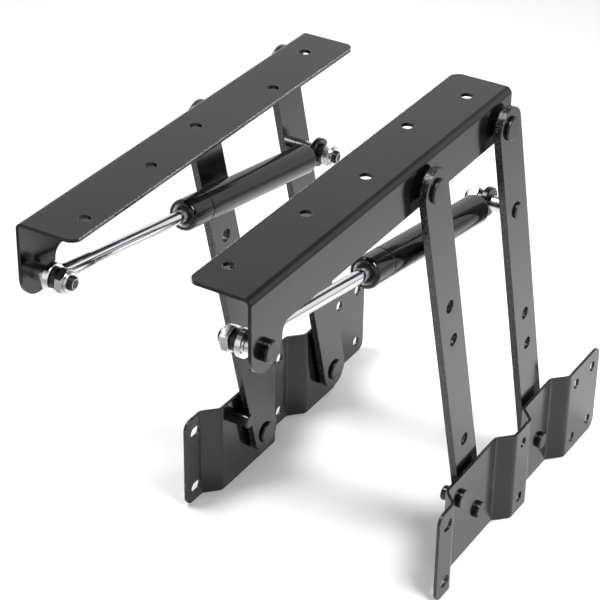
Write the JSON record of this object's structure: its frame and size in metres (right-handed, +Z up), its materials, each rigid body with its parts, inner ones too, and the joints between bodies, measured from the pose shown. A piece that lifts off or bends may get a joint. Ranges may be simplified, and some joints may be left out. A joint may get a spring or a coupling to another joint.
{
  "type": "lift top table mechanism",
  "caption": "Handed pair of table top lifting linkages, each a screwed rail carried on parallel arms from a joggled base plate and raised by a gas spring.",
  "frame": {"origin": "middle of the pair at the level of the base plates' bottom edges, halfway along the whole raised pair", "axes": "+Z up, -Y towards the person at the table, +X towards the right-hand unit"},
  "size_m": [0.1782, 0.3896, 0.2902],
  "materials": {
    "coat": "satin powder coat",
    "zinc": "bright zinc",
    "chrome": "polished",
    "plastic": "moulded"
  },
  "bodies": {
    "base": {"right_base_plate": "coat", "right_front_base_rivet": "coat", "right_rear_base_rivet": "coat", "right_front_base_washer": "zinc", "right_rear_base_washer": "zinc", "right_stop_pin": "coat", "left_base_plate": "coat", "left_front_base_rivet": "coat", "left_rear_base_rivet": "coat", "left_front_base_washer": "zinc", "left_rear_base_washer": "zinc", "left_stop_pin": "coat"},
    "right_front_arm_body": {"right_front_arm": "coat"},
    "right_rear_arm_body": {"right_rear_arm": "coat", "right_arm_stud": "zinc"},
    "right_rail_body": {"right_top_rail": "coat", "right_front_top_rivet": "coat", "right_rear_top_rivet": "coat", "right_front_top_spacer": "zinc", "right_rear_top_spacer": "zinc", "right_rail_stud": "coat", "right_rail_stud_washer": "zinc", "right_rail_stud_nut": "zinc"},
    "right_rod_body": {"right_rod_eye": "chrome", "right_piston_rod": "chrome", "right_piston": "plastic"},
    "right_tube_body": {"right_spring_tube": "coat", "right_rod_guide": "plastic", "right_tube_eye": "coat", "right_arm_stud_end": "coat", "right_arm_stud_washer": "zinc", "right_arm_stud_nut": "zinc"},
    "left_front_arm_body": {"left_front_arm": "coat"},
    "left_rear_arm_body": {"left_rear_arm": "coat", "left_arm_stud": "zinc"},
    "left_rail_body": {"left_top_rail": "coat", "left_front_top_rivet": "coat", "left_rear_top_rivet": "coat", "left_front_top_spacer": "zinc", "left_rear_top_spacer": "zinc", "left_rail_stud": "coat", "left_rail_stud_washer": "zinc", "left_rail_stud_nut": "zinc"},
    "left_rod_body": {"left_rod_eye": "chrome", "left_piston_rod": "chrome", "left_piston": "plastic"},
    "left_tube_body": {"left_spring_tube": "coat", "left_rod_guide": "plastic", "left_tube_eye": "coat", "left_arm_stud_end": "coat", "left_arm_stud_washer": "zinc", "left_arm_stud_nut": "zinc"}
  },
  "joints": [
    {"name": "right_lift", "type": "hinge", "parent": "base", "child": "right_front_arm_body", "pos_m": [0.0739, 0.0434, 0.0224], "axis": [-1, 0, 0], "range_deg": [0, 88]},
    {"name": "right_rear_arm_turn", "type": "hinge", "parent": "base", "child": "right_rear_arm_body", "pos_m": [0.0739, 0.1298, 0.0224], "axis": [-1, 0, 0], "range_deg": [0, 88]},
    {"name": "right_rail_turn", "type": "hinge", "parent": "right_front_arm_body", "child": "right_rail_body", "pos_m": [0.0739, -0.0245, 0.27234], "axis": [-1, 0, 0], "range_deg": [-88, 0]},
    {"name": "right_rod_turn", "type": "hinge", "parent": "right_rail_body", "child": "right_rod_body", "pos_m": [0.05735, -0.1822, 0.25634], "axis": [-1, 0, 0], "range_deg": [-8.79, 0]},
    {"name": "right_spring_stroke", "type": "slide", "parent": "right_rod_body", "child": "right_tube_body", "axis": [0, -0.9864, 0.1643], "range_m": [0, 0.07855], "stiffness_N_per_m": 400, "springref_m": -0.25},
    {"name": "left_lift", "type": "hinge", "parent": "base", "child": "left_front_arm_body", "pos_m": [-0.0739, 0.0434, 0.0224], "axis": [-1, 0, 0], "range_deg": [0, 88]},
    {"name": "left_rear_arm_turn", "type": "hinge", "parent": "base", "child": "left_rear_arm_body", "pos_m": [-0.0739, 0.1298, 0.0224], "axis": [-1, 0, 0], "range_deg": [0, 88]},
    {"name": "left_rail_turn", "type": "hinge", "parent": "left_front_arm_body", "child": "left_rail_body", "pos_m": [-0.0739, -0.0245, 0.27234], "axis": [-1, 0, 0], "range_deg": [-88, 0]},
    {"name": "left_rod_turn", "type": "hinge", "parent": "left_rail_body", "child": "left_rod_body", "pos_m": [-0.05735, -0.1822, 0.25634], "axis": [-1, 0, 0], "range_deg": [-8.79, 0]},
    {"name": "left_spring_stroke", "type": "slide", "parent": "left_rod_body", "child": "left_tube_body", "axis": [0, -0.9864, 0.1643], "range_m": [0, 0.07855], "stiffness_N_per_m": 400, "springref_m": -0.25}
  ],
  "couplings": [
    {"joint": "right_rear_arm_turn", "follows": "right_lift", "ratio": 1},
    {"joint": "right_rail_turn", "follows": "right_lift", "ratio": -1},
    {"joint": "right_rod_turn", "follows": "right_lift", "ratio": -0.099793},
    {"joint": "right_spring_stroke", "follows": "right_lift", "m_per_rad": 0.051076},
    {"joint": "left_rear_arm_turn", "follows": "left_lift", "ratio": 1},
    {"joint": "left_rail_turn", "follows": "left_lift", "ratio": -1},
    {"joint": "left_rod_turn", "follows": "left_lift", "ratio": -0.099793},
    {"joint": "left_spring_stroke", "follows": "left_lift", "m_per_rad": 0.051076}
  ]
}
